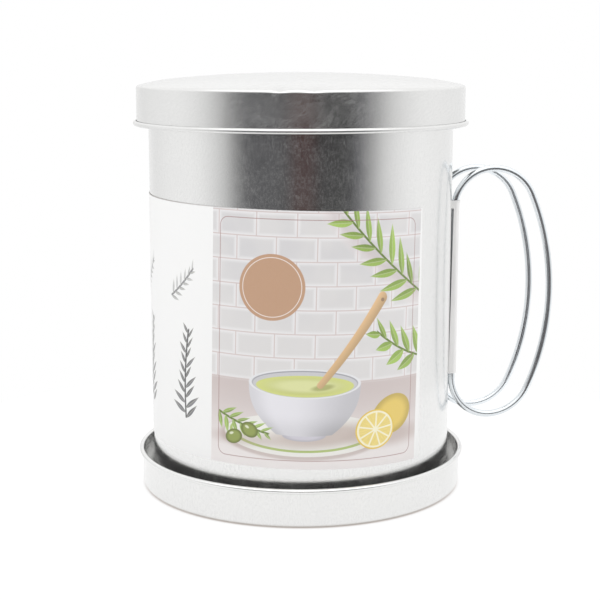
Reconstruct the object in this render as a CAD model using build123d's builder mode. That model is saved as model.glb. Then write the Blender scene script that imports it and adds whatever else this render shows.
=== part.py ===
import os
from math import asin, atan, cos, degrees, radians, sin, sqrt, tan

from build123d import *

# A lidded can that keeps used cooking fat. The can stands in a shallow saucer, a strainer hangs on
# its rolled rim under the lid, and two bent-wire rings held by a spot-welded clip are its handle.
# Millimetres. The origin is the centre of the saucer's underside, +Z is up, the handle is at +X.
# Bend and roll radii of the sheet pieces are those of the middle of the sheet.

# Sheet metal, one gauge all through, and how the loose pieces meet
sheet = 0.4
seat_gap = 0.1  # between a curved rim and the flange or lid that rests on it

# Rolled hem on the open edge of the saucer and of the lid
hem_roll = 0.6
hem_turn = 280.0  # degrees that the edge is rolled through

# Saucer
saucer_play = 3.4  # between the pot's wall and the saucer's
saucer_height = 12.8  # underside to the top of the hem
saucer_corner = 1.6

# Pot
pot_radius = 50.0  # outside of the wall
pot_height = 132.4  # underside to the top of the rolled rim
pot_corner = 3.8
rim_roll = 1.3
rim_turn = 300.0

# Strainer, a drawn basket with a pierced floor
strainer_depth = 22.0  # flange to the underside of the floor
strainer_play = 1.0  # between the basket's mouth and the pot's wall
strainer_draft = 15.0  # degrees that the basket's wall leans in towards its floor
strainer_corner = 3.8
strainer_lip_radius = 1.6  # where the wall turns out into the flange
hole_diameter = 2.6
hole_pitch = 7.0
hole_margin = 5.0  # from the foot of the wall to the middle of the nearest hole

# Lid
lid_play = 0.8  # between the rolled rim and the inside of the skirt
lid_depth = 12.65  # dome's edge to the bottom of the skirt
lid_corner = 1.0
crown_radius = 450.0  # the middle of the dome
shoulder_radius = 75.0  # the dome's outer part, which falls away faster
shoulder_slope = 15.0  # degrees, at the dome's edge

# Handle: two wire rings and the clip that holds their straight legs to the pot
wire_diameter = 2.3
ring_spacing = 20.0
ring_reach = 84.3  # pot's axis to the middle of the wire, at the grip
ring_height = 84.3  # between the middles of the wire at top and bottom
toe_radius = 15.0  # where the grip turns in to the ring's top and bottom
grip_radius = 82.0
ring_middle = 63.2  # height of the rings' middle over the saucer's underside
ring_stagger = 1.4  # how much higher the front ring sits than the rear one
wire_joint = 0.2  # between the two ends of a ring's wire
wire_fit = 0.03  # between the wire and the metal round it
strap_bottom = 36.8
strap_height = 58.8
strap_lean = 30.0  # degrees of the heel bend that a ridge can follow
ear_gap = 0.1  # the clip's two free edges stop this far from the pot, at their lower ends,
ear_spread = 0.75  # and spread away by this much more towards the top,
ear_foot = 2.6  # except along this much of the clip's top, which touches the pot

# Paper sleeve, wrapped a little out of true
paper = 0.15
label_slack = 0.05  # between the pot's wall and the paper
label_bottom = 17.6
label_height = 79.9
label_tilt = 1.4  # degrees; the handle's side is the lower one
label_start_angle = 47.9  # degrees round from +X to the edge behind the handle
label_wrap_angle = 260.0

# Worked out from the sizes above
half = sheet / 2
saucer_radius = pot_radius + saucer_play + sheet
rim_top = sheet + pot_height
rim_radius = pot_radius + 2 * rim_roll
flange_level = rim_top + seat_gap + half
lid_radius = rim_radius + lid_play + sheet
slope = radians(shoulder_slope)
lid_rise = (sheet + seat_gap) / cos(slope) - (lid_radius - rim_radius) * tan(slope)
lid_edge = flange_level + lid_rise
basket_radius = pot_radius - sheet - strainer_play - half
floor_level = flange_level - strainer_depth
floor_radius = basket_radius - strainer_depth * tan(radians(strainer_draft))
wire_radius = wire_diameter / 2
channel_radius = wire_radius + wire_fit
ridge_roll = channel_radius + half
leg_y = ring_spacing / 2
leg_x = sqrt((pot_radius + channel_radius) ** 2 - leg_y**2)
front_middle = ring_middle + ring_stagger / 2
rear_middle = ring_middle - ring_stagger / 2
toe_z = ring_height / 2 - toe_radius
toe_x = ring_reach - grip_radius + sqrt((grip_radius - toe_radius) ** 2 - toe_z**2)
bow = 2 * degrees(asin(toe_z / (grip_radius - toe_radius)))
toe_turn = 90 - bow / 2
heel_radius = toe_x - leg_x
leg_half = ring_height / 2 - heel_radius
ear_height = strap_height - ear_foot
label_radius = pot_radius + label_slack + paper / 2

os.makedirs("parts", exist_ok=True)


# Saucer: flat floor, short upright wall, edge rolled outwards
with BuildPart() as saucer:
    with BuildSketch(Plane.XZ):
        with BuildLine():
            wall = FilletPolyline(
                (0, half),
                (saucer_radius - half, half),
                (saucer_radius - half, saucer_height - half - hem_roll),
                radius=saucer_corner,
            )
            JernArc(wall @ 1, wall % 1, hem_roll, -hem_turn)
        trace(line_width=sheet)
    revolve(axis=Axis.Z)


# Pot: drawn in one piece, standing on the saucer's floor, its rim rolled outwards
with BuildPart() as pot_body:
    with BuildSketch(Plane.XZ):
        with BuildLine():
            wall = FilletPolyline(
                (0, sheet + half),
                (pot_radius - half, sheet + half),
                (pot_radius - half, rim_top - half - rim_roll),
                radius=pot_corner,
            )
            JernArc(wall @ 1, wall % 1, rim_roll, -rim_turn)
        trace(line_width=sheet)
    revolve(axis=Axis.Z)


# Strainer: a flange on the pot's rim, a leaning wall, and a floor pierced on a square grid
with BuildPart() as strainer:
    with BuildSketch(Plane.XZ):
        with BuildLine():
            FilletPolyline(
                (0, floor_level),
                (floor_radius, floor_level),
                (basket_radius, flange_level),
                (rim_radius, flange_level),
                radius=[strainer_corner, strainer_lip_radius],
            )
        trace(line_width=sheet)
    revolve(axis=Axis.Z)
    pierced_radius = floor_radius - hole_margin
    holes_across = 2 * int(pierced_radius / hole_pitch) + 1
    grid = GridLocations(hole_pitch, hole_pitch, holes_across, holes_across).local_locations
    with BuildSketch(Plane.XY.offset(floor_level - half)):
        with Locations([spot for spot in grid if spot.position.length <= pierced_radius]):
            Circle(hole_diameter / 2)
    extrude(amount=sheet, mode=Mode.SUBTRACT)


# Lid: a dome of two arcs that run into each other, a straight skirt, edge rolled outwards
with BuildPart() as lid:
    edge_x = lid_radius - half
    shoulder_x = edge_x - shoulder_radius * sin(slope)
    shoulder_z = lid_edge - shoulder_radius * cos(slope)
    blend = asin(shoulder_x / (crown_radius - shoulder_radius))
    crown_z = shoulder_z - (crown_radius - shoulder_radius) * cos(blend)
    with BuildSketch(Plane.XZ):
        with BuildLine() as lid_line:
            crown = CenterArc((0, crown_z), crown_radius, 90, -degrees(blend))
            shoulder = RadiusArc(crown @ 1, (edge_x, lid_edge), shoulder_radius)
            skirt = Line(shoulder @ 1, (edge_x, lid_edge - lid_depth + half + hem_roll))
            JernArc(skirt @ 1, skirt % 1, hem_roll, hem_turn)
            edge = lid_line.vertices().sort_by_distance(shoulder @ 1)[0]
            fillet(edge, radius=lid_corner)
        trace(line_width=sheet)
    revolve(axis=Axis.Z)


# Handle rings: wire bent to a D. The straight leg lies against the pot, two heel bends and two toe
# bends lead into the long bow of the grip, and the ends meet half-way up the leg, inside the clip.
def bend_ring(side, middle):
    with BuildPart() as ring:
        with BuildLine(Plane.XZ.offset(-side * leg_y)) as wire:
            rise = Line((leg_x, middle + wire_joint / 2), (leg_x, middle + leg_half))
            upper_heel = JernArc(rise @ 1, rise % 1, heel_radius, -90)
            upper_toe = JernArc(upper_heel @ 1, upper_heel % 1, toe_radius, -toe_turn)
            grip = JernArc(upper_toe @ 1, upper_toe % 1, grip_radius, -bow)
            lower_toe = JernArc(grip @ 1, grip % 1, toe_radius, -toe_turn)
            lower_heel = JernArc(lower_toe @ 1, lower_toe % 1, heel_radius, -90)
            Line(lower_heel @ 1, (leg_x, middle - wire_joint / 2))
        for span in wire.edges():
            with BuildSketch(Plane(span @ 0, z_dir=span % 0)):
                Circle(wire_radius)
            sweep(path=span)
    return ring


handle_ring_front = bend_ring(-1, front_middle)
handle_ring_rear = bend_ring(1, rear_middle)


# Clip: sheet pressed over both legs. Each ridge follows its wire, into the start of the upper heel
# bend, the web between the ridges is welded to the pot, and the outer ears are free.
with BuildPart() as handle_strap:
    for side, middle in ((-1, front_middle), (1, rear_middle)):
        with BuildLine(Plane.XZ.offset(-side * leg_y)) as run:
            straight = Line((leg_x, strap_bottom), (leg_x, middle + leg_half))
            JernArc(straight @ 1, straight % 1, heel_radius, -strap_lean)
        with BuildSketch(Plane(straight @ 0)):
            with BuildLine():
                ear = Line((-2 * ridge_roll, -ridge_roll), (0, -ridge_roll))
                arch = JernArc(ear @ 1, ear % 1, ridge_roll, 180)
                Line(arch @ 1, (-2 * ridge_roll, ridge_roll))
            trace(line_width=sheet)
        sweep(path=run.wires()[0])
    with BuildSketch(Plane.XY.offset(strap_bottom)):
        Circle(pot_radius + sheet)
        web_size = (2 * pot_radius, 2 * (leg_y - channel_radius))
        Rectangle(*web_size, align=(Align.MIN, Align.CENTER), mode=Mode.INTERSECT)
    extrude(amount=strap_height)
    with BuildSketch(Plane.XY.offset(strap_bottom)):
        Circle(pot_radius)
    extrude(amount=2 * strap_height, mode=Mode.SUBTRACT)
    with BuildSketch(Plane.XY.offset(strap_bottom)):
        Circle(pot_radius + ear_gap)
        Rectangle(4 * pot_radius, ring_spacing, mode=Mode.SUBTRACT)
    extrude(amount=ear_height, taper=-degrees(atan(ear_spread / ear_height)), mode=Mode.SUBTRACT)
    split(bisect_by=Plane.XY.offset(strap_bottom + strap_height), keep=Keep.BOTTOM)


# Paper sleeve: a band round most of the pot, open behind the handle, its long edges out of true
with BuildPart() as label_sleeve:
    lean = radians(label_tilt)
    with BuildSketch(Plane.XY):
        with BuildLine():
            CenterArc((0, 0), label_radius, label_start_angle, label_wrap_angle)
        trace(line_width=paper)
    extrude(amount=label_bottom + label_height + pot_radius * tan(lean))
    for level, kept in ((label_bottom, Keep.TOP), (label_bottom + label_height, Keep.BOTTOM)):
        split(bisect_by=Plane((0, 0, level), z_dir=(sin(lean), 0, cos(lean))), keep=kept)


pieces = {
    "saucer": saucer,
    "pot_body": pot_body,
    "strainer": strainer,
    "lid": lid,
    "handle_ring_front": handle_ring_front,
    "handle_ring_rear": handle_ring_rear,
    "handle_strap": handle_strap,
    "label_sleeve": label_sleeve,
}
for name, piece in pieces.items():
    piece.part.label = name
    export_step(piece.part, f"parts/{name}.step")
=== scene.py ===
import math

import bpy
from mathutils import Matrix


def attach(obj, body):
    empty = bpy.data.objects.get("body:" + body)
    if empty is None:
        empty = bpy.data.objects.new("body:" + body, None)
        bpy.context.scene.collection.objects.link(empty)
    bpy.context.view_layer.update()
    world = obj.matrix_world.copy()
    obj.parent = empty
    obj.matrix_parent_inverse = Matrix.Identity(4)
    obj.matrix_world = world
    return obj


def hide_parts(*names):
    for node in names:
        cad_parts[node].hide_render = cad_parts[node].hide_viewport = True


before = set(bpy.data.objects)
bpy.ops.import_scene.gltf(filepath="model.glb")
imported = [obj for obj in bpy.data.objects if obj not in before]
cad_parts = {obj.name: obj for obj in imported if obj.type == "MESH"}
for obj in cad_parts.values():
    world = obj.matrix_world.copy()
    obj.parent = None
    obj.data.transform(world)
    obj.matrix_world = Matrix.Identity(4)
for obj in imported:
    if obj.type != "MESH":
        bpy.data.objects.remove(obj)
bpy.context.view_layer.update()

mm = 0.001
print("frame loaded:", ", ".join(sorted(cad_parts)))


def addNode(tree, kind, sockets=None, **settings):
    node = tree.nodes.new(kind)
    for name, value in settings.items():
        setattr(node, name, value)
    for key, value in (sockets or {}).items():
        if isinstance(value, bpy.types.NodeSocket):
            tree.links.new(value, node.inputs[key])
        else:
            node.inputs[key].default_value = value
    return node


def addMath(tree, operation, *values):
    return addNode(tree, "ShaderNodeMath", dict(enumerate(values)), operation=operation).outputs[0]


def plus(tree, first, second):
    return addMath(tree, "ADD", first, second)


def minus(tree, first, second):
    return addMath(tree, "SUBTRACT", first, second)


def times(tree, first, second):
    return addMath(tree, "MULTIPLY", first, second)


def divide(tree, first, second):
    return addMath(tree, "DIVIDE", first, second)


def timesPlus(tree, value, factor, more):
    return addMath(tree, "MULTIPLY_ADD", value, factor, more)


def absolute(tree, value):
    return addMath(tree, "ABSOLUTE", value)


def distance(tree, across, along):
    return addMath(tree, "SQRT", plus(tree, times(tree, across, across), times(tree, along, along)))


def combine(tree, *values):
    return addNode(tree, "ShaderNodeCombineXYZ", dict(enumerate(values))).outputs[0]


def separate(tree, vector):
    return addNode(tree, "ShaderNodeSeparateXYZ", {0: vector}).outputs


def inMillimetres(tree, vector):
    return addNode(tree, "ShaderNodeVectorMath", {0: vector, "Scale": 1 / mm}, operation="SCALE").outputs[0]


def noise(tree, where, scale, detail, roughness=0.5):
    return addNode(tree, "ShaderNodeTexNoise", {
        "Vector": where, "Scale": scale, "Detail": detail, "Roughness": roughness}).outputs[0]


def mixColour(tree, factor, first, second, mode="MIX"):
    sockets = {0: factor, 6: first, 7: second}
    for key in (6, 7):
        if isinstance(sockets[key], tuple):
            sockets[key] = (*sockets[key], 1)
    return addNode(tree, "ShaderNodeMix", sockets, data_type="RGBA", blend_type=mode).outputs[2]


def grey(tree, value):
    return addNode(tree, "ShaderNodeCombineColor", dict.fromkeys(range(3), value)).outputs[0]


def toned(tree, colour, factor):
    return mixColour(tree, 1.0, colour, grey(tree, factor), "MULTIPLY")


def ramp(tree, value, start, end, low=0.0, high=1.0, smooth=True):
    return addNode(tree, "ShaderNodeMapRange", {0: value, 1: start, 2: end, 3: low, 4: high},
                   interpolation_type="SMOOTHSTEP" if smooth else "LINEAR").outputs[0]


def newGeometryTree(name, inputs):
    tree = bpy.data.node_groups.new(name, "GeometryNodeTree")
    tree.interface.new_socket("Geometry", in_out="INPUT", socket_type="NodeSocketGeometry")
    for label, kind in inputs.items():
        tree.interface.new_socket(label, in_out="INPUT", socket_type="NodeSocket" + kind)
    tree.interface.new_socket("Geometry", in_out="OUTPUT", socket_type="NodeSocketGeometry")
    return tree, tree.nodes.new("NodeGroupInput").outputs


def pointPlace(tree):
    return addNode(tree, "GeometryNodeInputPosition").outputs[0]


def smoothed(tree, geometry, crease=0.9):
    # smooth shading, but for edges that bend by more than the crease angle
    smooth = addNode(tree, "GeometryNodeSetShadeSmooth", {"Geometry": geometry, "Shade Smooth": True})
    angle = addNode(tree, "GeometryNodeInputMeshEdgeAngle").outputs[0]
    sharp = addNode(tree, "FunctionNodeCompare", {0: angle, 1: crease}, operation="GREATER_THAN").outputs[0]
    return addNode(tree, "GeometryNodeSetShadeSmooth", {
        "Geometry": smooth.outputs[0], "Selection": sharp, "Shade Smooth": False}, domain="EDGE").outputs[0]


def closeTree(tree, geometry, material=None):
    # every tree ends the same way: plain geometry, with its material on where it has one to give
    last = addNode(tree, "GeometryNodeRealizeInstances", {"Geometry": geometry})
    if material:
        last = addNode(tree, "GeometryNodeSetMaterial", {"Geometry": last.outputs[0], "Material": material})
    tree.links.new(last.outputs[0], tree.nodes.new("NodeGroupOutput").inputs[0])
    return tree


def bakeTree(piece, tree, values):
    modifier = piece.modifiers.new(tree.name, "NODES")
    modifier.node_group = tree
    for item in tree.interface.items_tree:
        if item.item_type == "SOCKET" and item.in_out == "INPUT" and item.name in values:
            modifier[item.identifier] = values[item.name]
    graph = bpy.context.evaluated_depsgraph_get()
    mesh = bpy.data.meshes.new_from_object(piece.evaluated_get(graph))
    piece.modifiers.remove(modifier)
    source = piece.data
    piece.data = mesh
    bpy.data.meshes.remove(source)
    mesh.name = piece.name
    return piece


def lineObject(name, points):
    mesh = bpy.data.meshes.new(name)
    edges = [(i, i + 1) for i in range(len(points) - 1)]
    mesh.from_pydata([tuple(c * mm for c in p) for p in points], edges, [])
    piece = bpy.data.objects.new(name, mesh)
    bpy.context.scene.collection.objects.link(piece)
    return piece


def bendSheet(start, moves, thickness, arcStep=9.0, chord=2.5):
    # walks the middle of a bent sheet and gives the outline of the sheet, from the axis out and back
    x, z = start
    heading = 0.0
    middle = [(x, z, heading)]
    for move in moves:
        if len(move) == 1:
            x += move[0] * math.cos(heading)
            z += move[0] * math.sin(heading)
            middle.append((x, z, heading))
            continue
        radius, turn = move[0], math.radians(move[1])
        steps = max(2, math.ceil(abs(move[1]) / arcStep), math.ceil(radius * abs(turn) / chord))
        side = math.copysign(1, turn)
        centreX = x - side * radius * math.sin(heading)
        centreZ = z + side * radius * math.cos(heading)
        for i in range(1, steps + 1):
            angle = heading + turn * i / steps
            middle.append((centreX + side * radius * math.sin(angle),
                           centreZ - side * radius * math.cos(angle), angle))
        x, z, heading = middle[-1]
    half = thickness / 2
    below, above = ([(px + s * half * math.sin(a), 0, pz - s * half * math.cos(a)) for px, pz, a in middle]
                    for s in (1, -1))
    return [(max(px, 0.0), py, pz) for px, py, pz in below + above[::-1]]


def newMaterial(name):
    material = bpy.data.materials.new(name)
    material.use_nodes = True
    material.node_tree.nodes.clear()
    return material, material.node_tree


def closeMaterial(tree, sockets):
    surface = addNode(tree, "ShaderNodeBsdfPrincipled", sockets)
    addNode(tree, "ShaderNodeOutputMaterial", {"Surface": surface.outputs[0]})


plateFinish = {
    "light": (0.83, 0.83, 0.82),
    "dull": (0.79, 0.79, 0.785),
    "roughness": (0.125, 0.235),
    "radius": 50.0,             # of the walls that the marks are spaced on, mm
    "flatFrom": 0.6,            # upright part of the normal from which the sheet counts as lying flat
    "fibre": (0.5, 2.2),        # width and length of the rolling marks, mm
    "lean": 0.0,                # how far the marks lean over, mm per mm
    "blotch": 5.0,              # size of the hazy patches, mm
    "scuff": (0.004, 0.1),      # how matt the finest marks leave it, at least and at most
    "scratch": (0.42, 1.05),    # width and length of the finest marks, mm
    "prick": {"spacing": 6.25, "edge": 0.026, "middle": 0.014, "matt": 0.2},
    "fibreShare": 0.6,          # of the unevenness; the patches have the rest
    "uneven": (0.32, 0.68),     # where the roughness starts to rise and where it is full
    "scratchFade": (0.41, 0.65),
    "patchFade": (0.2, 0.6),
}
lidFinish = {**plateFinish, "light": (0.80, 0.80, 0.79), "dull": (0.765, 0.765, 0.76),
             "roughness": (0.16, 0.26), "fibre": (0.4, 2.0), "lean": -1.2, "scuff": (0.055, 0.185)}


def makePlateMetal(name, spec):
    material, tree = newMaterial(name)
    place = inMillimetres(tree, addNode(tree, "ShaderNodeTexCoord").outputs["Object"])
    axes = separate(tree, place)
    turn = addMath(tree, "ARCTAN2", axes[1], axes[0])
    normal = separate(tree, addNode(tree, "ShaderNodeNewGeometry").outputs["Normal"])
    # round the walls the marks run upright, on floors and tops they run straight across
    flat = addMath(tree, "GREATER_THAN", absolute(tree, normal[2]), spec["flatFrom"])
    leaned = plus(tree, turn, times(tree, axes[2], spec["lean"] / spec["radius"]))
    marks = []
    for wide, long in (spec["fibre"], spec["scratch"]):
        circle = [times(tree, addMath(tree, kind, leaned), spec["radius"] / wide)
                  for kind in ("SINE", "COSINE")]
        around = combine(tree, *circle, divide(tree, axes[2], long))
        across = addNode(tree, "ShaderNodeMapping", {
            "Vector": place, "Scale": (1 / long, 1 / wide, 1 / wide)}).outputs[0]
        where = addNode(tree, "ShaderNodeMix", {0: flat, 4: around, 5: across}, data_type="VECTOR").outputs[1]
        marks.append(noise(tree, where, 1.0, 3.0, 0.65))
    fibre, scratch = marks
    blotch = noise(tree, place, 1 / spec["blotch"], 4.0, 0.6)
    share = spec["fibreShare"]
    texture = plus(tree, times(tree, fibre, share), times(tree, blotch, 1 - share))
    # the finest marks and a few pricks are matt: they stay light where the plate mirrors something dark
    prick = spec["prick"]
    cells = addNode(tree, "ShaderNodeTexVoronoi", {"Vector": place, "Scale": 1 / prick["spacing"]})
    pricked = ramp(tree, cells.outputs["Distance"], prick["edge"], prick["middle"])
    least, most = spec["scuff"]
    worn = times(tree, ramp(tree, scratch, *spec["scratchFade"]), ramp(tree, blotch, *spec["patchFade"]))
    matt = timesPlus(tree, worn, most - least, timesPlus(tree, pricked, prick["matt"], least))
    closeMaterial(tree, {
        "Base Color": mixColour(tree, blotch, spec["dull"], spec["light"]),
        "Metallic": minus(tree, 1.0, matt),
        "Roughness": ramp(tree, texture, *spec["uneven"], *spec["roughness"], smooth=False)})
    return material


wireFinish = {"colour": (0.85, 0.89, 0.92), "dull": 0.9, "metal": 0.88, "roughness": (0.078, 0.208),
              "haze": 400.0, "patch": 60.0, "patchFade": (0.35, 0.65)}


def makeWireMetal(name, spec):
    material, tree = newMaterial(name)
    place = addNode(tree, "ShaderNodeTexCoord").outputs["Object"]
    haze = noise(tree, place, spec["haze"], 3.0)
    patch = noise(tree, place, spec["patch"], 2.0)
    dull = tuple(c * spec["dull"] for c in spec["colour"])
    closeMaterial(tree, {
        "Base Color": mixColour(tree, ramp(tree, patch, *spec["patchFade"]), dull, spec["colour"]),
        "Metallic": spec["metal"],
        "Roughness": ramp(tree, haze, 0.0, 1.0, *spec["roughness"], smooth=False)})
    return material


# the clip is left as it comes from the press: dull, with a faint warm cast
clipFinish = {"light": (0.895, 0.89, 0.88), "dull": (0.85, 0.84, 0.835), "metal": 0.14,
              "roughness": (0.40, 0.5), "streak": (900.0, 900.0, 60.0), "streakFade": (0.3, 0.7),
              "weld": {"first": 45.0, "step": 21.2, "radius": 2.2, "ink": (0.50, 0.47, 0.45),
                       "line": (0.6, 0.1), "lineShare": 0.4, "fillShare": 0.2}}


def makeClipMetal(name, spec):
    material, tree = newMaterial(name)
    place = addNode(tree, "ShaderNodeTexCoord").outputs["Object"]
    drawn = addNode(tree, "ShaderNodeMapping", {"Vector": place, "Scale": spec["streak"]}).outputs[0]
    streak = noise(tree, drawn, 1.0, 3.0)
    colour = mixColour(tree, ramp(tree, streak, *spec["streakFade"]), spec["dull"], spec["light"])
    # three round weld marks, one above the other between the ridges
    weld = spec["weld"]
    axes = separate(tree, place)
    up = minus(tree, divide(tree, axes[2], mm), weld["first"] - weld["step"] / 2)
    near = minus(tree, addMath(tree, "FLOORED_MODULO", up, weld["step"]), weld["step"] / 2)
    far = distance(tree, near, divide(tree, axes[1], mm))
    ring = absolute(tree, minus(tree, far, weld["radius"]))
    mark = addMath(tree, "MAXIMUM", times(tree, ramp(tree, ring, *weld["line"]), weld["lineShare"]),
                   times(tree, ramp(tree, far, weld["radius"], 0.0), weld["fillShare"]))
    closeMaterial(tree, {
        "Base Color": mixColour(tree, mark, colour, weld["ink"]),
        "Metallic": spec["metal"],
        "Roughness": ramp(tree, streak, *spec["streakFade"], *spec["roughness"], smooth=False)})
    return material


tinplate = makePlateMetal("tinplate", plateFinish)
lidPlate = makePlateMetal("lidPlate", lidFinish)
wireMetal = makeWireMetal("platedWire", wireFinish)
clipMetal = makeClipMetal("pressedClip", clipFinish)
print("materials made")


def makeLatheTree():
    # turns an outline in the XZ plane about Z
    tree, given = newGeometryTree("turnSheet", {
        "Segments": "Int", "Wander": "Float", "Wander Scale": "Float", "Crease": "Float",
        "Metal": "Material"})
    outline = given["Geometry"]
    rows = addNode(tree, "GeometryNodeAttributeDomainSize", {"Geometry": outline}).outputs["Point Count"]
    grid = addNode(tree, "GeometryNodeMeshGrid", {
        "Size X": 1.0, "Size Y": 1.0, "Vertices Y": rows, "Vertices X": plus(tree, given["Segments"], 1.0)})
    spot = separate(tree, pointPlace(tree))
    turn = times(tree, plus(tree, spot[0], 0.5), math.tau)
    row = times(tree, plus(tree, spot[1], 0.5), minus(tree, rows, 1.0))
    index = addNode(tree, "FunctionNodeFloatToInt", {0: row}).outputs[0]
    sample = addNode(tree, "GeometryNodeSampleIndex", {
        "Geometry": outline, "Index": index, "Value": pointPlace(tree)}, data_type="FLOAT_VECTOR").outputs[0]
    turned = addNode(tree, "ShaderNodeVectorRotate", {"Vector": sample, "Angle": turn},
                     rotation_type="Z_AXIS").outputs[0]
    # the sheet wanders a little towards the axis, never outwards
    wave = noise(tree, turned, given["Wander Scale"], 1.0)
    pull = minus(tree, 1.0, times(tree, wave, given["Wander"]))
    pulled = addNode(tree, "ShaderNodeVectorMath", {0: turned, 1: combine(tree, pull, pull, 1.0)},
                     operation="MULTIPLY").outputs[0]
    placed = addNode(tree, "GeometryNodeSetPosition", {"Geometry": grid.outputs[0], "Position": pulled})
    joined = addNode(tree, "GeometryNodeMergeByDistance", {"Geometry": placed.outputs[0], "Distance": 1e-6})
    return closeTree(tree, smoothed(tree, joined.outputs[0], given["Crease"]), given["Metal"])


def makeDentTree(rimFrom=0.02):
    # a shallow knock in a turned edge: everything near one point moves down, and half as far inwards
    labels = ("Turn", "Level", "Width", "Height", "Depth")
    tree, given = newGeometryTree("knockEdge", dict.fromkeys(labels, "Float"))
    spot = separate(tree, pointPlace(tree))
    reach = distance(tree, spot[0], spot[1])
    swing = minus(tree, addMath(tree, "ARCTAN2", spot[1], spot[0]), given["Turn"])
    along = divide(tree, times(tree, swing, reach), given["Width"])
    over = divide(tree, minus(tree, spot[2], given["Level"]), given["Height"])
    spread = plus(tree, times(tree, along, along), times(tree, over, over))
    push = times(tree, addMath(tree, "EXPONENT", times(tree, spread, -1.0)), given["Depth"])
    inward = divide(tree, times(tree, push, -0.5), reach)
    shift = combine(tree, times(tree, spot[0], inward), times(tree, spot[1], inward), times(tree, push, -1.0))
    rim = addMath(tree, "GREATER_THAN", reach, rimFrom)
    moved = addNode(tree, "GeometryNodeSetPosition", {
        "Geometry": given["Geometry"], "Selection": rim, "Offset": shift})
    return closeTree(tree, moved.outputs[0])


latheTree = makeLatheTree()
dentTree = makeDentTree()


def turnPiece(name, outline, body, metal, wander=0.0, wanderScale=25.0, segments=256, crease=50, dents=()):
    piece = bakeTree(lineObject(name, outline), latheTree, {
        "Segments": segments, "Wander": wander, "Wander Scale": wanderScale, "Crease": math.radians(crease),
        "Metal": metal})
    for turn, level, width, height, depth in dents:
        bakeTree(piece, dentTree, {"Turn": math.radians(turn), "Level": level * mm, "Width": width * mm,
                                   "Height": height * mm, "Depth": depth * mm})
    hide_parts(name.removesuffix("Sheet"))
    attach(piece, body)
    return piece


sheet = 0.4
potSizes = {"radius": 50.0, "foot": 0.4, "height": 132.4, "corner": 3.8, "roll": 1.3, "rollTurn": 300.0,
            "wander": 0.0006}
saucerSizes = {"radius": 53.8, "foot": 0.0, "height": 12.8, "corner": 1.6, "roll": 0.6, "rollTurn": 280.0}
lidSizes = {"radius": 53.8, "edge": 133.296, "depth": 12.65, "corner": 1.0, "crown": 450.0, "shoulder": 75.0,
            "slope": 15.0, "roll": 0.6, "rollTurn": 280.0,
            # the skirt is cut finer at its top, where the knocks bend it
            "skirtSteps": (0.35, 0.35, 0.5),
            # knocks: degrees round, level, width, height, depth
            "dents": ((-107.3, 133.4, 2.6, 0.55, 0.3), (-96.5, 133.4, 3.2, 0.55, 0.26))}


def cupOutline(s):
    # a flat floor, a rounded corner, an upright wall and an edge rolled outwards
    floor = s["radius"] - sheet / 2 - s["corner"]
    wall = s["height"] - sheet - s["roll"] - s["corner"]
    moves = [(floor,), (s["corner"], 90), (wall,), (s["roll"], -s["rollTurn"])]
    return bendSheet((0, s["foot"] + sheet / 2), moves, sheet)


def lidOutline(s):
    half = sheet / 2
    edgeX = s["radius"] - half
    slope = math.radians(s["slope"])
    shoulderX = edgeX - s["shoulder"] * math.sin(slope)
    shoulderZ = s["edge"] - s["shoulder"] * math.cos(slope)
    blend = math.asin(shoulderX / (s["crown"] - s["shoulder"]))
    crownZ = shoulderZ - (s["crown"] - s["shoulder"]) * math.cos(blend)
    inner = s["shoulder"] - s["corner"]
    across = edgeX - s["corner"] - shoulderX
    cornerZ = shoulderZ + math.sqrt(inner ** 2 - across ** 2)
    fall = math.asin(across / inner)
    skirt = cornerZ - (s["edge"] - s["depth"] + half + s["roll"])
    moves = [(s["crown"], -math.degrees(blend)), (s["shoulder"], -math.degrees(fall - blend)),
             (s["corner"], -90 + math.degrees(fall)), *((step,) for step in s["skirtSteps"]),
             (skirt - sum(s["skirtSteps"]),), (s["roll"], s["rollTurn"])]
    return bendSheet((0, crownZ + s["crown"]), moves, sheet)


turnPiece("saucerSheet", cupOutline(saucerSizes), "saucer", tinplate)
print("saucer turned")
turnPiece("pot_bodySheet", cupOutline(potSizes), "pot", tinplate, wander=potSizes["wander"])
turnPiece("lidSheet", lidOutline(lidSizes), "lid", lidPlate, segments=512, dents=lidSizes["dents"])
print("pot and lid turned")


ringSizes = {"wire": 2.3, "legX": 50.1935, "legY": 10.0, "heel": 13.359, "toe": 15.0, "grip": 82.0,
             "height": 84.3, "middle": 63.2, "stagger": 1.4, "joint": 0.2, "arcStep": 1.2, "sides": 24}


def makeWireTree():
    tree, given = newGeometryTree("drawWire", {"Radius": "Float", "Sides": "Int", "Metal": "Material"})
    path = addNode(tree, "GeometryNodeMeshToCurve", {"Mesh": given["Geometry"]}).outputs[0]
    disc = addNode(tree, "GeometryNodeCurvePrimitiveCircle", {
        "Resolution": given["Sides"], "Radius": given["Radius"]})
    drawn = addNode(tree, "GeometryNodeCurveToMesh", {
        "Curve": path, "Profile Curve": disc.outputs[0], "Fill Caps": True})
    return closeTree(tree, smoothed(tree, drawn.outputs[0]), given["Metal"])


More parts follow.
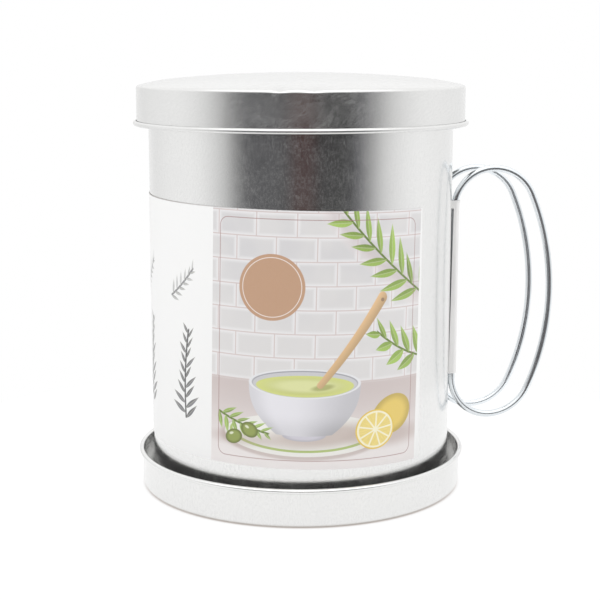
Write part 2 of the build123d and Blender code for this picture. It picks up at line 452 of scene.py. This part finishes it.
def ringPath(s, side):
    toeZ = s["height"] / 2 - s["toe"]
    bow = 2 * math.asin(toeZ / (s["grip"] - s["toe"]))
    middle = s["middle"] - side * s["stagger"] / 2
    x, z, heading = s["legX"], middle + s["height"] / 2 - s["heel"], math.pi / 2
    points = [(x, middle + s["joint"] / 2), (x, z)]
    heel, toe = (s["heel"], math.pi / 2), (s["toe"], math.pi / 2 - bow / 2)
    for radius, turn in (heel, toe, (s["grip"], bow), toe, heel):
        centreX = x + radius * math.sin(heading)
        centreZ = z - radius * math.cos(heading)
        steps = max(6, round(radius * turn / s["arcStep"]))
        for i in range(1, steps + 1):
            a = heading - turn * i / steps
            points.append((centreX - radius * math.sin(a), centreZ + radius * math.cos(a)))
        x, z = points[-1]
        heading -= turn
    points.append((s["legX"], middle - s["joint"] / 2))
    return [(px, side * s["legY"], pz) for px, pz in points]


wireTree = makeWireTree()
for name, side in (("handle_ring_front", -1), ("handle_ring_rear", 1)):
    ring = bakeTree(lineObject(name + "Wire", ringPath(ringSizes, side)), wireTree, {
        "Radius": ringSizes["wire"] / 2 * mm, "Sides": ringSizes["sides"], "Metal": wireMetal})
    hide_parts(name)
    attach(ring, "pot")
print("handle rings drawn")


# the paper sleeve is laid out flat in millimetres and wrapped round the can by one group: across runs
# to the right from the picture's left edge, up runs from the foot of the paper

sleeveSizes = {"radius": 50.05, "paper": 0.15, "bottom": 17.6, "height": 79.9, "tilt": 1.4,
               "pictureTurn": 226.6, "pictureWidth": 71.1, "plainWidth": 156.3, "columns": 228, "rows": 4}


def makeWrapGroup(s):
    tree, given = newGeometryTree("wrapRound", {})
    flat = pointPlace(tree)
    kept = addNode(tree, "GeometryNodeStoreNamedAttribute", {
        "Geometry": given["Geometry"], "Name": "artPlace", "Value": flat},
        data_type="FLOAT_VECTOR", domain="POINT")
    across, lift, up = separate(tree, flat)
    swing = divide(tree, across, (s["radius"] + s["paper"] / 2) * mm)
    angle = plus(tree, swing, math.radians(s["pictureTurn"]))
    reach = plus(tree, lift, s["radius"] * mm)
    x = times(tree, reach, addMath(tree, "COSINE", angle))
    y = times(tree, reach, addMath(tree, "SINE", angle))
    level = plus(tree, up, s["bottom"] * mm)
    z = minus(tree, level, times(tree, x, math.tan(math.radians(s["tilt"]))))
    wrapped = addNode(tree, "GeometryNodeSetPosition", {
        "Geometry": kept.outputs[0], "Position": combine(tree, x, y, z)})
    tree.links.new(wrapped.outputs[0], tree.nodes.new("NodeGroupOutput").inputs[0])
    return tree


def makeSleeveTree(s):
    tree, given = newGeometryTree("paperSleeve", {
        "Width": "Float", "Height": "Float", "Paper": "Float", "Left": "Float", "Ink": "Material"})
    wide, thick, high = given["Width"], given["Paper"], given["Height"]
    block = addNode(tree, "GeometryNodeMeshCube", {
        "Size": combine(tree, wide, thick, high), "Vertices X": s["columns"], "Vertices Y": 2,
        "Vertices Z": s["rows"]})
    middle = combine(tree, plus(tree, given["Left"], times(tree, wide, 0.5)), times(tree, thick, 0.5),
                     times(tree, high, 0.5))
    put = addNode(tree, "GeometryNodeTransform", {"Geometry": block.outputs[0], "Translation": middle})
    wrap = addNode(tree, "GeometryNodeGroup", node_tree=makeWrapGroup(s))
    tree.links.new(put.outputs[0], wrap.inputs[0])
    return closeTree(tree, smoothed(tree, wrap.outputs[0]), given["Ink"])


# ink: every printed shape is one node group laid over the colour under it; places and sizes are
# in millimetres on the flat picture, turned anticlockwise from "to the right"

def newInkTree(name, sizes):
    tree = bpy.data.node_groups.new(name, "ShaderNodeTree")
    for label in ("Under", "Ink"):
        tree.interface.new_socket(label, in_out="INPUT", socket_type="NodeSocketColor")
    for label in ("Across", "Up", "At Across", "At Up", "Turn", *sizes):
        tree.interface.new_socket(label, in_out="INPUT", socket_type="NodeSocketFloat")
    tree.interface.new_socket("Colour", in_out="OUTPUT", socket_type="NodeSocketColor")
    given = tree.nodes.new("NodeGroupInput").outputs
    right = minus(tree, given["Across"], given["At Across"])
    over = minus(tree, given["Up"], given["At Up"])
    cosine, sine = addMath(tree, "COSINE", given["Turn"]), addMath(tree, "SINE", given["Turn"])
    x = timesPlus(tree, right, cosine, times(tree, over, sine))
    y = minus(tree, times(tree, over, cosine), times(tree, right, sine))
    return tree, given, x, y


def closeInk(tree, given, cover, colour):
    laid = mixColour(tree, cover, given["Under"], colour)
    tree.links.new(laid, tree.nodes.new("NodeGroupOutput").inputs[0])
    return tree


def layInk(tree, kind, under, axes, ink, at, turn, *sizes):
    # the sockets stand in the order that newInkTree gives them
    sockets = (under, (*ink, 1), axes[0], axes[2], *at, math.radians(turn), *sizes)
    return addNode(tree, "ShaderNodeGroup", dict(enumerate(sockets)), node_tree=inkKinds[kind]).outputs[0]


leafLook = {
    "twig": 0.34, "twigTone": 0.6,              # half of the twig's width
    "tip": 0.6,                                 # the twig fades out over this length
    "blur": 0.1,                                # softness of every edge
    "grow": -0.42, "size": (0.26, 0.86),        # change of size up to the tip; span and least of chance
    "close": -0.35, "lean": (0.35, 0.72),       # the same for the angle to the twig, in radians
    "belly": (-1.6, 2.8),                       # fuller near the stalk
    "shade": 0.3, "tone": (0.32, 0.62), "chance": 0.5, "tipTone": 0.22,
    "ribs": 5.2, "ribTone": 0.04,
    "vein": (0.2, 0.05), "veinShare": 0.5, "pale": (1.0, 1.0, 0.8), "paleShare": 0.45,
    "otherSide": 37.0,                          # keeps the chances of the two sides apart
}


def makeBranchInk(look):
    # leaves stand in turn on both sides of a bent twig, smaller and closer to it towards the tip
    tree, given, x, y = newInkTree("branchInk", (
        "Length", "Bend", "Pitch", "Leaf Length", "Leaf Width", "Seed"))
    length, pitch, ink, blur = given["Length"], given["Pitch"], given["Ink"], look["blur"]
    bent = minus(tree, y, times(tree, times(tree, x, x), given["Bend"]))
    out = absolute(tree, bent)
    above = times(tree, addMath(tree, "GREATER_THAN", bent, 0.0), 0.5)
    reach = minus(tree, divide(tree, x, pitch), above)
    twig = ramp(tree, minus(tree, out, look["twig"]), blur, -blur)
    span = times(tree, ramp(tree, x, -blur, blur), ramp(tree, x, length, minus(tree, length, look["tip"])))
    colour = mixColour(tree, times(tree, twig, span), given["Under"], toned(tree, ink, look["twigTone"]))
    pale = mixColour(tree, look["paleShare"], ink, look["pale"])
    # a point can lie under the leaf that starts beside it or under the two before
    for back in (2.0, 1.0, 0.0):
        index = minus(tree, addMath(tree, "FLOOR", reach), back)
        start = times(tree, plus(tree, index, above), pitch)
        part = divide(tree, start, length)
        seed = plus(tree, timesPlus(tree, above, look["otherSide"], index), given["Seed"])
        chance = addNode(tree, "ShaderNodeTexWhiteNoise", {"W": seed}, noise_dimensions="1D").outputs["Value"]
        size = times(tree, timesPlus(tree, part, look["grow"], 1.0), timesPlus(tree, chance, *look["size"]))
        lean = timesPlus(tree, part, look["close"], timesPlus(tree, chance, *look["lean"]))
        cosine, sine = addMath(tree, "COSINE", lean), addMath(tree, "SINE", lean)
        gone = minus(tree, x, start)
        u = timesPlus(tree, gone, cosine, times(tree, out, sine))
        v = minus(tree, times(tree, out, cosine), times(tree, gone, sine))
        along = divide(tree, u, times(tree, given["Leaf Length"], size))
        arch = times(tree, along, minus(tree, 1.0, along))
        full = times(tree, arch, addMath(tree, "MAXIMUM", timesPlus(tree, along, *look["belly"]), 1.0))
        half = times(tree, full, times(tree, given["Leaf Width"], times(tree, size, 0.5)))
        side = absolute(tree, v)
        cover = ramp(tree, minus(tree, side, half), blur, -blur)
        there = times(tree, addMath(tree, "GREATER_THAN", start, -0.01),
                      addMath(tree, "LESS_THAN", start, minus(tree, length, 0.5)))
        rib = addMath(tree, "SINE", times(tree, minus(tree, u, side), look["ribs"]))
        tone = timesPlus(tree, ramp(tree, v, -look["shade"], look["shade"]), *look["tone"])
        tone = timesPlus(tree, rib, look["ribTone"], timesPlus(tree, chance, look["chance"], tone))
        tone = timesPlus(tree, along, look["tipTone"], tone)
        vein = times(tree, ramp(tree, side, *look["vein"]), look["veinShare"])
        leaf = mixColour(tree, vein, toned(tree, ink, tone), pale)
        colour = mixColour(tree, times(tree, cover, there), colour, leaf)
    tree.links.new(colour, tree.nodes.new("NodeGroupOutput").inputs[0])
    return tree


def makeSpotInk():
    tree, given, x, y = newInkTree("spotInk", ("Wide", "High", "Blur", "Rim", "Strength"))
    far = distance(tree, divide(tree, x, given["Wide"]), divide(tree, y, given["High"]))
    cover = ramp(tree, far, plus(tree, 1.0, given["Blur"]), minus(tree, 1.0, given["Blur"]))
    edge = times(tree, ramp(tree, far, 0.55, 1.0), given["Rim"])
    return closeInk(tree, given, times(tree, cover, given["Strength"]),
                    toned(tree, given["Ink"], minus(tree, 1.0, edge)))


def makeBarInk():
    # a long strip with round ends, bent evenly and tapered towards its far end
    tree, given, x, y = newInkTree("barInk", ("Length", "Width", "Bend", "Taper", "Blur"))
    bent = minus(tree, y, times(tree, times(tree, x, x), given["Bend"]))
    middle = times(tree, given["Length"], 0.5)
    past = minus(tree, absolute(tree, minus(tree, x, middle)), middle)
    far = distance(tree, addMath(tree, "MAXIMUM", past, 0.0), bent)
    along = divide(tree, x, given["Length"])
    half = times(tree, given["Width"], timesPlus(tree, along, given["Taper"], 0.5))
    cover = ramp(tree, minus(tree, far, half), given["Blur"], times(tree, given["Blur"], -1.0), smooth=False)
    tone = timesPlus(tree, divide(tree, bent, given["Width"]), 0.28, 0.96)
    return closeInk(tree, given, cover, toned(tree, given["Ink"], tone))


def makeSliceInk(segments=9, pith=(0.93, 0.88, 0.66), rind=(0.78, 0.56, 0.10)):
    # a cut lemon
    tree, given, x, y = newInkTree("sliceInk", ("Radius", "Squash"))
    flat = divide(tree, y, given["Squash"])
    far = divide(tree, distance(tree, x, flat), given["Radius"])
    turn = addMath(tree, "ARCTAN2", flat, x)
    cell = addMath(tree, "PINGPONG", divide(tree, turn, math.tau / (2 * segments)), 1.0)
    flesh = times(tree, ramp(tree, times(tree, cell, far), 0.07, 0.15), ramp(tree, far, 0.86, 0.80))
    flesh = times(tree, flesh, ramp(tree, far, 0.10, 0.16))
    grain = noise(tree, combine(tree, times(tree, turn, 5.0), times(tree, far, 1.5)), 2.0, 2.0)
    pulp = toned(tree, given["Ink"], timesPlus(tree, grain, 0.3, 0.82))
    whole = mixColour(tree, ramp(tree, far, 0.90, 0.945), mixColour(tree, flesh, pith, pulp), rind)
    return closeInk(tree, given, ramp(tree, far, 1.01, 0.985), whole)


def makeBowlInk(belly=2.4, footBend=0.0058, blur=0.12):
    # the side of a white bowl, from its rim down to its foot, whose line curves with the bowl
    tree, given, x, y = newInkTree("bowlInk", ("Wide", "Deep", "Foot"))
    down = divide(tree, y, times(tree, given["Deep"], -1.0))
    narrow = times(tree, addMath(tree, "POWER", addMath(tree, "MAXIMUM", down, 0.0), belly),
                   minus(tree, given["Wide"], given["Foot"]))
    half = minus(tree, given["Wide"], narrow)
    arch = times(tree, times(tree, x, x), footBend)
    past = minus(tree, times(tree, y, -1.0), minus(tree, given["Deep"], arch))
    cover = times(tree, ramp(tree, minus(tree, absolute(tree, x), half), blur, -blur),
                  ramp(tree, past, blur, -blur))
    cover = times(tree, cover, ramp(tree, y, 0.3, 0.0))
    around = divide(tree, x, half)
    # shade at the right, a little at the left, and towards the foot
    tone = 1.0
    for place, start, end, share in ((around, -0.35, 1.0, 0.3), (around, -0.6, -1.0, 0.16),
                                     (down, 0.55, 1.0, 0.16)):
        tone = minus(tree, tone, times(tree, ramp(tree, place, start, end), share))
    return closeInk(tree, given, cover, toned(tree, given["Ink"], tone))


inkKinds = {"branch": makeBranchInk(leafLook), "spot": makeSpotInk(), "bar": makeBarInk(),
            "slice": makeSliceInk(), "bowl": makeBowlInk()}

picture = {
    "roughness": 0.38, "white": (0.905, 0.905, 0.90), "fibreShare": 0.03, "front": 0.1,
    "wallTop": (0.66, 0.65, 0.66), "wallFoot": (0.72, 0.705, 0.70),
    "joint": (0.60, 0.49, 0.47), "glaze": (0.86, 0.85, 0.86),
    "table": (0.62, 0.545, 0.53), "tableFront": (0.84, 0.80, 0.79), "tableTop": 27.5, "tableBlur": 0.7,
    "tileWide": 12.4, "tileHigh": 7.4, "tileShift": 4.0,
    "jointWide": 0.26, "jointShare": 0.75, "glazeWide": 1.5, "glazeShare": 0.8,
    "shift": 0.2, "lean": 0.024, "wide": 69.8,      # the print lies a little askew on its paper
    "frame": (0.36, 0.19, 0.19), "frameInset": 2.7, "frameRound": 2.6, "frameWide": 0.12, "frameShare": 0.8,
    # a painted shadow line darkens the paper's top edge, strongest at the left, as if the paper lifted a
    # little off the can there
    "edge": (0.36, 0.33, 0.31), "edgeShadowFrom": 0.34, "edgeShadowTo": 0.1, "edgeShadowLeft": (30.0, -25.0), "edgeShadowShare": 0.8,
    "inks": {
        "haze": (0.66, 0.58, 0.58), "shade": (0.42, 0.30, 0.26), "leaf": (0.26, 0.38, 0.085),
        "mat": (0.87, 0.86, 0.82), "border": (0.46, 0.58, 0.20),
        "foot": (0.62, 0.60, 0.66), "china": (0.80, 0.79, 0.83), "rim": (0.90, 0.90, 0.92),
        "hollow": (0.40, 0.40, 0.44), "inside": (0.60, 0.60, 0.62),
        "soup": (0.55, 0.58, 0.20), "gloss": (0.80, 0.82, 0.45), "dip": (0.33, 0.34, 0.10),
        "wood": (0.68, 0.46, 0.25), "hole": (0.30, 0.20, 0.13),
        "lemon": (0.80, 0.60, 0.16), "pulp": (0.86, 0.70, 0.24),
        "olive": (0.30, 0.36, 0.10), "gleam": (0.85, 0.88, 0.7),
        "badge": (0.545, 0.335, 0.215), "badgeLine": (0.86, 0.78, 0.73),
        "darkGrey": (0.15, 0.15, 0.16), "midGrey": (0.42, 0.42, 0.43),
    },
    # every motif stands at a place of its own; its layers follow from the lowest up, each with its kind,
    # its ink, how far right and up it lies, its turn, and then the sizes that its kind lists
    "motifs": (
        # big twigs
        ((71.0, 53.5), (("bar", "haze", -3, 0.5, 152, 44, 3.6, -0.0052, -0.3, 3.2),
                        ("branch", "leaf", 0, 0, 148, 50, -0.0042, 5.4, 12.5, 5.2, 3),
                        ("branch", "leaf", 0, -20, 166, 20, -0.012, 5.2, 10.0, 6.0, 8))),
        # a bowl on a round mat with a green border
        ((30.5, 27.0), (("spot", "shade", 0, -17.12, 0, 27.03, 6.996, 0.06, 0.05, 0.5),
                        ("spot", "mat", 0, -16.4, 0, 25.5, 6.6, 0.01, 0.05, 1.0),
                        ("spot", "border", 0, -15.56, 0, 23.715, 6.138, 0.01, 0.05, 1.0),
                        ("spot", "mat", 0, -15.08, 0, 22.695, 5.874, 0.01, 0.05, 1.0),
                        ("spot", "shade", 6, -16.4, 5, 17, 3.6, 0.5, 0.0, 0.6),
                        ("spot", "foot", 0, -16.2, 0, 6.72, 1.9, 0.03, 0.2, 1.0),
                        ("bowl", "china", 0, 0, 0, 17.5, 16.5, 8.0),
                        ("spot", "rim", 0, 0, 0, 17.5, 4.7, 0.015, 0.12, 1.0),
                        ("spot", "hollow", 0, -0.05, 0, 16.5375, 4.23, 0.015, 0.2, 0.9),
                        ("spot", "inside", 0, -0.25, 0, 16.275, 4.042, 0.015, 0.0, 1.0),
                        ("spot", "soup", 0, -0.75, 0, 15.225, 3.384, 0.015, -0.2, 1.0),
                        ("spot", "gloss", 0, -0.6, 0, 10.5, 1.974, 0.45, 0.0, 0.7))),
        # a wooden spoon stands in the bowl
        ((30.5, 27.0), (("spot", "dip", 5.4, -1.1, 8, 3.4, 0.9, 0.4, 0.0, 0.7),
                        ("bar", "wood", 4.6, -0.4, 51, 33, 2.1, 0.0015, 0.32, 0.1),
                        ("spot", "hole", 24.2, 25.6, 0, 0.6, 0.6, 0.15, 0.0, 0.9))),
        # a lemon and a slice of it
        ((58.5, 9.6), (("spot", "shade", 0, 0, 0, 12, 3.2, 0.6, 0.0, 0.5),
                       ("spot", "lemon", 1.0, 6.6, 24, 7.6, 6.1, 0.02, 0.3, 1.0),
                       ("slice", "pulp", -5.0, 2.3, 8, 6.9, 0.92))),
        # a small sprig and two olives
        ((10.5, 8.6), (("spot", "shade", 0, 0, 0, 10, 2.0, 0.7, 0.0, 0.4),
                       ("branch", "leaf", -7.7, 8.0, -26, 18, 0.007, 2.7, 5.8, 2.7, 5))),
        *((at, (("spot", "olive", 0, 0, turn, 2.9, 2.3, 0.03, 0.45, 1.0),
                ("spot", "gleam", -0.8, 0.9, turn, 0.7, 0.4, 0.4, 0.0, 0.8)))
          for at, turn in (((8.2, 9.0), 20), ((13.4, 11.6), -30))),
        # a plain round badge with a fine ring
        ((19.6, 56.5), (("spot", "badge", 0, 0, 0, 10.2, 10.2, 0.008, 0.0, 1.0),
                        ("spot", "badgeLine", 0, 0, 0, 9.231, 9.231, 0.008, 0.0, 1.0),
                        ("spot", "badge", 0, 0, 0, 8.9964, 8.9964, 0.008, 0.0, 1.0))),
    ),
    # grey twigs come round again on the plain paper
    "repeat": 26.05,
    "plainMotifs": (((0, 0), (("branch", "darkGrey", -11.0, 11.5, 96, 29, -0.005, 3.2, 7.0, 2.8, 14),
                              ("branch", "midGrey", -19.0, 50.0, 32, 15, 0.012, 2.5, 4.8, 2.0, 21))),),
}


def layMotifs(tree, colour, axes, motifs, inks):
    for (right, up), layers in motifs:
        for kind, ink, x, z, turn, *sizes in layers:
            colour = layInk(tree, kind, colour, axes, inks[ink], (right + x, up + z), turn, *sizes)
    return colour


def makePictureInk(name, spec, sizes):
    material, tree = newMaterial(name)
    # the flat place of a printed point, in millimetres
    stored = addNode(tree, "ShaderNodeAttribute", attribute_name="artPlace").outputs["Vector"]
    art = inMillimetres(tree, stored)
    flatAcross, lift, up = separate(tree, art)
    askew = times(tree, minus(tree, up, sizes["height"] / 2), spec["lean"])
    across = plus(tree, minus(tree, flatAcross, askew), spec["shift"])
    fibre = noise(tree, art, 1.1, 4.0)
    cloud = noise(tree, art, 0.07, 2.0)
    # a wall of long glazed tiles over a table top
    flat = combine(tree, plus(tree, across, spec["tileShift"]), minus(tree, up, spec["tableTop"]))
    joints, glazed = (addNode(tree, "ShaderNodeTexBrick", {
        "Vector": flat, "Scale": 1.0, "Mortar Size": wide, "Mortar Smooth": soft,
        "Brick Width": spec["tileWide"], "Row Height": spec["tileHigh"]}, offset=0.5).outputs["Fac"]
        for wide, soft in ((spec["jointWide"], 0.6), (spec["glazeWide"], 1.0)))
    rise = ramp(tree, up, spec["tableTop"], sizes["height"])
    wall = mixColour(tree, rise, spec["wallFoot"], spec["wallTop"])
    wall = mixColour(tree, ramp(tree, cloud, 0.35, 0.65), wall, spec["wallFoot"])
    wall = mixColour(tree, times(tree, glazed, spec["glazeShare"]), wall, spec["glaze"])
    wall = mixColour(tree, times(tree, joints, spec["jointShare"]), wall, spec["joint"])
    table = mixColour(tree, ramp(tree, up, 0.0, spec["tableTop"]), spec["tableFront"], spec["table"])
    foot = ramp(tree, up, spec["tableTop"] + spec["tableBlur"], spec["tableTop"] - spec["tableBlur"])
    ground = mixColour(tree, foot, wall, table)
    scene = layMotifs(tree, ground, (across, lift, up), spec["motifs"], spec["inks"])
    # a thin line with round corners frames the picture
    middle = (spec["wide"] / 2, sizes["height"] / 2)
    reach = [m - spec["frameInset"] - spec["frameRound"] for m in middle]
    out = [minus(tree, absolute(tree, minus(tree, v, m)), r) for v, m, r in zip((across, up), middle, reach)]
    corner = distance(tree, *(addMath(tree, "MAXIMUM", v, 0.0) for v in out))
    inside = addMath(tree, "MINIMUM", addMath(tree, "MAXIMUM", *out), 0.0)
    edge = absolute(tree, minus(tree, plus(tree, corner, inside), spec["frameRound"]))
    line = ramp(tree, edge, spec["frameWide"] * 1.5, spec["frameWide"] * 0.5)
    scene = mixColour(tree, times(tree, line, spec["frameShare"]), scene, spec["frame"])
    # round the rest of the paper, its front is plain but for the twigs, and its back is bare
    again = minus(tree, addMath(tree, "FLOORED_MODULO", across, spec["repeat"]), spec["repeat"])
    white = (*spec["white"], 1)
    plain = layMotifs(tree, white, (again, lift, up), spec["plainMotifs"], spec["inks"])
    bare = addMath(tree, "MAXIMUM", addMath(tree, "LESS_THAN", lift, spec["front"]),
                   addMath(tree, "GREATER_THAN", across, 0.0))
    plain = mixColour(tree, bare, plain, spec["white"])
    inPicture = addMath(tree, "LESS_THAN", absolute(tree, minus(tree, across, middle[0])), middle[0])
    printed = times(tree, inPicture, addMath(tree, "GREATER_THAN", lift, spec["front"]))
    colour = mixColour(tree, printed, plain, scene)
    colour = mixColour(tree, times(tree, fibre, spec["fibreShare"]), colour, (0.8, 0.8, 0.8))
    # painted shadow along the top edge of the paper, fading towards the right
    paintedEdgeShadow = times(tree, ramp(tree, up, sizes["height"] - spec["edgeShadowFrom"], sizes["height"] - spec["edgeShadowTo"]),
                ramp(tree, across, *spec["edgeShadowLeft"]))
    bump = addNode(tree, "ShaderNodeBump", {"Strength": 0.04, "Distance": 0.0001, "Height": fibre})
    closeMaterial(tree, {
        "Base Color": mixColour(tree, times(tree, paintedEdgeShadow, spec["edgeShadowShare"]), colour, spec["edge"]),
        "Roughness": spec["roughness"], "Normal": bump.outputs[0]})
    return material


pictureInk = makePictureInk("sleevePaper", picture, sleeveSizes)
sleeve = bakeTree(lineObject("paperSleeve", [(0, 0, 0), (1, 0, 0)]), makeSleeveTree(sleeveSizes), {
    "Width": (sleeveSizes["pictureWidth"] + sleeveSizes["plainWidth"]) * mm,
    "Height": sleeveSizes["height"] * mm, "Paper": sleeveSizes["paper"] * mm,
    "Left": -sleeveSizes["plainWidth"] * mm, "Ink": pictureInk})
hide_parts("label_sleeve")
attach(sleeve, "pot")
print("sleeve wrapped")


# the strainer and the clip keep the frame's shape
for name, metal in (("strainer", tinplate), ("handle_strap", clipMetal)):
    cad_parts[name].material_slots[0].material = metal
print("strainer and clip finished")


floorSizes = {"reach": 0.16, "albedo": 0.88, "shadowShare": 0.28, "glow": 0.775, "contact": 0.0018,
              "contactShadowTint": (0.42, 0.36, 0.32), "contactShadowTo": 0.7}
cameraPlace = {"turn": 10.7, "distance": 0.46093, "height": 0.14548, "dip": 10.298, "lens": 83.29,
               "shift": 0.0013}
room = {
    # what polished metal sees round the room: degrees from the camera's side, minus is left of it
    "round": {-180: 0.97, -140: 0.88, -112: 0.98, -92: 1.0, -80: 0.95, -69: 0.82, -58: 0.61, -49: 0.27,
              -40: 0.064, -22: 0.055, -11: 0.04, -3: "warm", 6: "warm", 14: 0.005, 30: 0.005, 37: 0.028,
              44: 0.12, 53: 0.36, 63: 0.68, 74: 0.86, 86: 0.97, 99: 1.02, 140: 0.95, 180: 0.97},
    "warm": (0.036, 0.007, 0.005),
    "blueBelow": 0.2, "blue": 1.09,     # tones darker than this have a little more blue
    "darkTo": (0.1, 0.4),       # the dark part ends this far above the horizon
    "paler": (-0.08, -0.22),    # and pales towards the floor
    "palerShare": 0.06,
    "above": 1.1,
    "softbox": (0.55, 0.8),     # a lamp hangs over the camera, fully bright from this far above the horizon
    "softboxFront": (-0.1, 0.15),
    "lamp": 1.8,
    "sky": 1.06,
}


def backgroundRays(tree, *kinds):
    path = addNode(tree, "ShaderNodeLightPath").outputs
    found = path[kinds[0]]
    for kind in kinds[1:]:
        found = addMath(tree, "MAXIMUM", found, path[kind])
    return found


def makeFloor(spec):
    bpy.ops.mesh.primitive_circle_add(vertices=128, radius=spec["reach"], fill_type="NGON")
    floor = bpy.context.object
    floor.name = "floor"
    material, tree = newMaterial("paleFloor")
    matt, shaded = (addNode(tree, "ShaderNodeBsdfDiffuse", {"Color": (*[spec[share]] * 3, 1)}).outputs[0]
                    for share in ("albedo", "shadowShare"))
    # painted shadow: close to the object, ambient occlusion darkens the floor's glow towards a warm brown
    openness = addNode(tree, "ShaderNodeAmbientOcclusion", {"Distance": spec["contact"]}, samples=8)
    outsideContactShadow = ramp(tree, openness.outputs["AO"], 0.0, spec["contactShadowTo"])
    tone = mixColour(tree, outsideContactShadow, spec["contactShadowTint"], (1.0, 1.0, 1.0))
    glow = addNode(tree, "ShaderNodeEmission", {"Color": tone, "Strength": spec["glow"]}).outputs[0]
    both = addNode(tree, "ShaderNodeAddShader", {0: shaded, 1: glow}).outputs[0]
    seen = backgroundRays(tree, "Is Camera Ray", "Is Glossy Ray", "Is Transmission Ray")
    mixed = addNode(tree, "ShaderNodeMixShader", {0: seen, 1: matt, 2: both}).outputs[0]
    addNode(tree, "ShaderNodeOutputMaterial", {"Surface": mixed})
    floor.data.materials.append(material)


def makeWorld(spec, place):
    # a white room; what stands behind the camera is dark, with something warm in its middle
    world = bpy.data.worlds.new("room")
    bpy.context.scene.world = world
    world.use_nodes = True
    tree = world.node_tree
    tree.nodes.clear()
    way = addNode(tree, "ShaderNodeTexCoord").outputs["Generated"]
    turn = math.radians(place["turn"])
    ahead, aside = (
        addNode(tree, "ShaderNodeVectorMath", {0: way, 1: axis}, operation="DOT_PRODUCT").outputs["Value"]
        for axis in ((-math.sin(turn), -math.cos(turn), 0), (math.cos(turn), -math.sin(turn), 0)))
    share = plus(tree, divide(tree, addMath(tree, "ARCTAN2", aside, ahead), math.tau), 0.5)
    stops = addNode(tree, "ShaderNodeValToRGB", {0: share})
    marks = stops.color_ramp.elements
    for i, (degrees, tone) in enumerate(sorted(spec["round"].items())):
        mark = marks[i] if i < 2 else marks.new(1.0)
        mark.position = degrees / 360 + 0.5
        if tone == "warm":
            mark.color = (*spec["warm"], 1)
        else:
            mark.color = (tone, tone, tone * spec["blue"] if tone < spec["blueBelow"] else tone, 1)
    height = separate(tree, way)[2]
    lifted = ramp(tree, height, *spec["darkTo"])
    box = times(tree, ramp(tree, height, *spec["softbox"]), ramp(tree, ahead, *spec["softboxFront"]))
    upper = timesPlus(tree, box, spec["lamp"] - spec["above"], spec["above"])
    low = times(tree, ramp(tree, height, *spec["paler"], smooth=False), spec["palerShare"])
    walls = mixColour(tree, low, stops.outputs[0], (1.0, 1.0, 1.0))
    seen = mixColour(tree, lifted, walls, grey(tree, upper))
    mirrored, plain, white = (
        addNode(tree, "ShaderNodeBackground", {"Color": colour, "Strength": strength}).outputs[0]
        for colour, strength in ((seen, 1.0), ((1, 1, 1, 1), spec["sky"]), ((1, 1, 1, 1), 1.0)))
    light = addNode(tree, "ShaderNodeMixShader", {
        0: backgroundRays(tree, "Is Glossy Ray"), 1: plain, 2: mirrored}).outputs[0]
    whole = addNode(tree, "ShaderNodeMixShader", {
        0: backgroundRays(tree, "Is Camera Ray", "Is Transmission Ray"), 1: light, 2: white}).outputs[0]
    addNode(tree, "ShaderNodeOutputWorld", {"Surface": whole})


def makeCamera(place):
    camera = bpy.data.objects.new("camera", bpy.data.cameras.new("camera"))
    bpy.context.scene.collection.objects.link(camera)
    turn = math.radians(place["turn"])
    away = place["distance"]
    camera.location = (-away * math.sin(turn), -away * math.cos(turn), place["height"])
    camera.rotation_euler = (math.radians(90 - place["dip"]), 0, -turn)
    camera.data.lens = place["lens"]
    camera.data.sensor_width = 36
    camera.data.shift_x = -place["shift"]
    camera.data.clip_start = 0.01
    bpy.context.scene.camera = camera


makeFloor(floorSizes)
makeWorld(room, cameraPlace)
makeCamera(cameraPlace)
bpy.context.scene.view_settings.view_transform = "Standard"
print("stage set")
